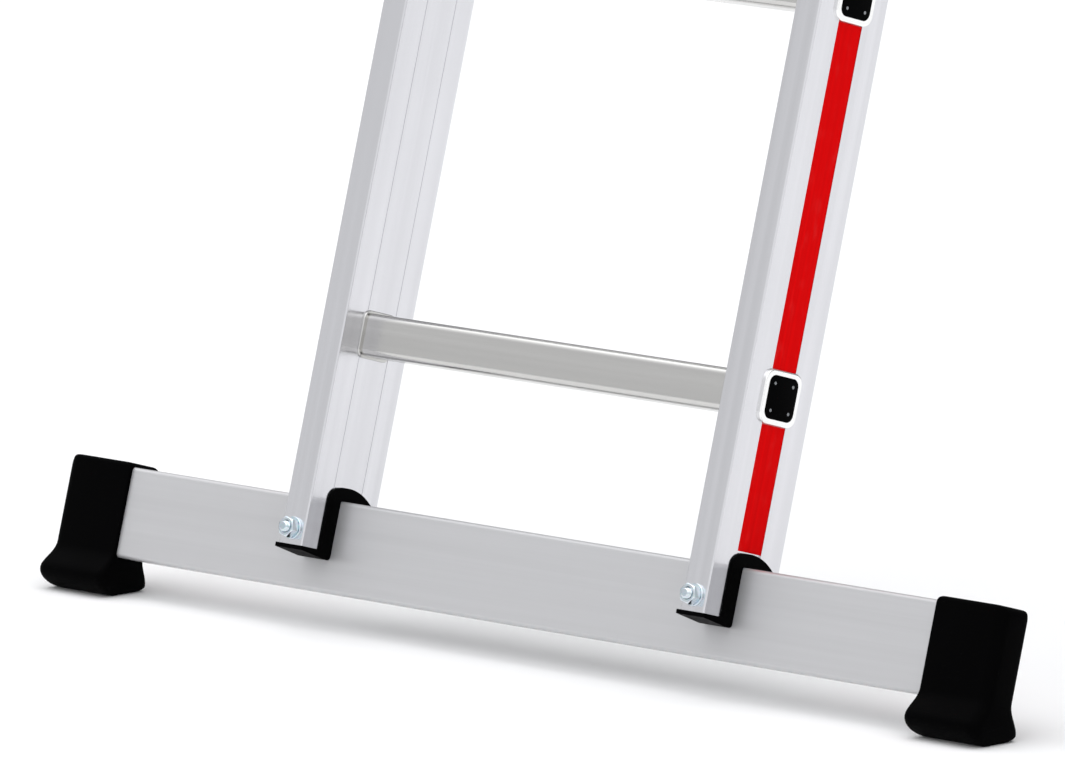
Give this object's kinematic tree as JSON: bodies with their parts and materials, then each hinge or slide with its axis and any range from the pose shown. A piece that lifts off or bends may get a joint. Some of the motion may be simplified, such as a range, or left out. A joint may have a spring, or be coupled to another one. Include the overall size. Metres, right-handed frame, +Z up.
{
  "type": "extension ladder",
  "caption": "Two-section push-up aluminium extension ladder on a stabiliser bar with rubber feet; the fly section slides up and locks with swinging rung hooks.",
  "frame": {"origin": "point of the floor midway between the two feet, under the traverse", "axes": "+Z up, +X to the climber's right, +Y towards the wall that the ladder leans against; the stiles lean back 16 degrees from +Z towards +Y"},
  "size_m": [0.885, 0.7766, 2.7746],
  "materials": {
    "stile_aluminium": "extruded, satin",
    "rung_aluminium": "extruded, satin",
    "traverse_aluminium": "extruded, satin",
    "red_stripe": "gloss",
    "foot_rubber": "smooth moulded rubber",
    "cap_plastic": "moulded",
    "plug_plastic": "moulded",
    "liner_plastic": "waxy sliding plastic",
    "zinc_fasteners": "bright zinc",
    "rivet_steel": "plain",
    "bracket_steel": "zinc plated sheet",
    "spring_steel": "drawn wire"
  },
  "bodies": {
    "base_section": {"base_stile_left": "stile_aluminium", "base_stile_right": "stile_aluminium", "base_rung_1": "rung_aluminium", "base_rung_2": "rung_aluminium", "base_rung_3": "rung_aluminium", "base_rung_4": "rung_aluminium", "base_rung_5": "rung_aluminium", "base_rung_6": "rung_aluminium", "base_rung_7": "rung_aluminium", "base_rung_8": "rung_aluminium", "base_rung_plugs": "plug_plastic", "base_stripe_left": "red_stripe", "base_stripe_right": "red_stripe", "traverse": "traverse_aluminium", "traverse_foot_left": "foot_rubber", "traverse_foot_right": "foot_rubber", "base_foot_cap_left": "cap_plastic", "base_foot_cap_right": "cap_plastic", "traverse_bolts": "zinc_fasteners", "traverse_nuts": "zinc_fasteners", "traverse_washers": "zinc_fasteners", "base_top_cap_left": "cap_plastic", "base_top_cap_right": "cap_plastic", "base_guide_left": "bracket_steel", "base_guide_right": "bracket_steel", "base_guide_liners": "liner_plastic", "base_guide_rivets": "rivet_steel"},
    "fly_section": {"fly_stile_left": "stile_aluminium", "fly_stile_right": "stile_aluminium", "fly_rung_1": "rung_aluminium", "fly_rung_2": "rung_aluminium", "fly_rung_3": "rung_aluminium", "fly_rung_4": "rung_aluminium", "fly_rung_5": "rung_aluminium", "fly_rung_6": "rung_aluminium", "fly_rung_7": "rung_aluminium", "fly_rung_8": "rung_aluminium", "fly_rung_plugs": "plug_plastic", "fly_stripe_left": "red_stripe", "fly_stripe_right": "red_stripe", "fly_bottom_cap_left": "cap_plastic", "fly_bottom_cap_right": "cap_plastic", "fly_top_cap_left": "cap_plastic", "fly_top_cap_right": "cap_plastic", "fly_guide_left": "bracket_steel", "fly_guide_right": "bracket_steel", "fly_guide_liners": "liner_plastic", "fly_guide_rivets": "rivet_steel", "hook_bracket_left": "bracket_steel", "hook_bracket_right": "bracket_steel", "hook_bracket_rivets": "rivet_steel", "hook_pins": "zinc_fasteners", "hook_springs": "spring_steel"},
    "hook_left": {"hook_left": "bracket_steel"},
    "hook_right": {"hook_right": "bracket_steel"}
  },
  "joints": [
    {"name": "fly_slide", "type": "slide", "parent": "base_section", "child": "fly_section", "axis": [0, 0.2756, 0.9613], "range_m": [0, 0.84]},
    {"name": "hook_left_swing", "type": "hinge", "parent": "fly_section", "child": "hook_left", "pos_m": [-0.1675, 0.20919, 0.84924], "axis": [-1, 0, 0], "range_deg": [0, 28], "stiffness_Nm_per_rad": 0.3, "springref_deg": -22.92},
    {"name": "hook_right_swing", "type": "hinge", "parent": "fly_section", "child": "hook_right", "pos_m": [0.1675, 0.20919, 0.84924], "axis": [-1, 0, 0], "range_deg": [0, 28], "stiffness_Nm_per_rad": 0.3, "springref_deg": -22.92}
  ]
}
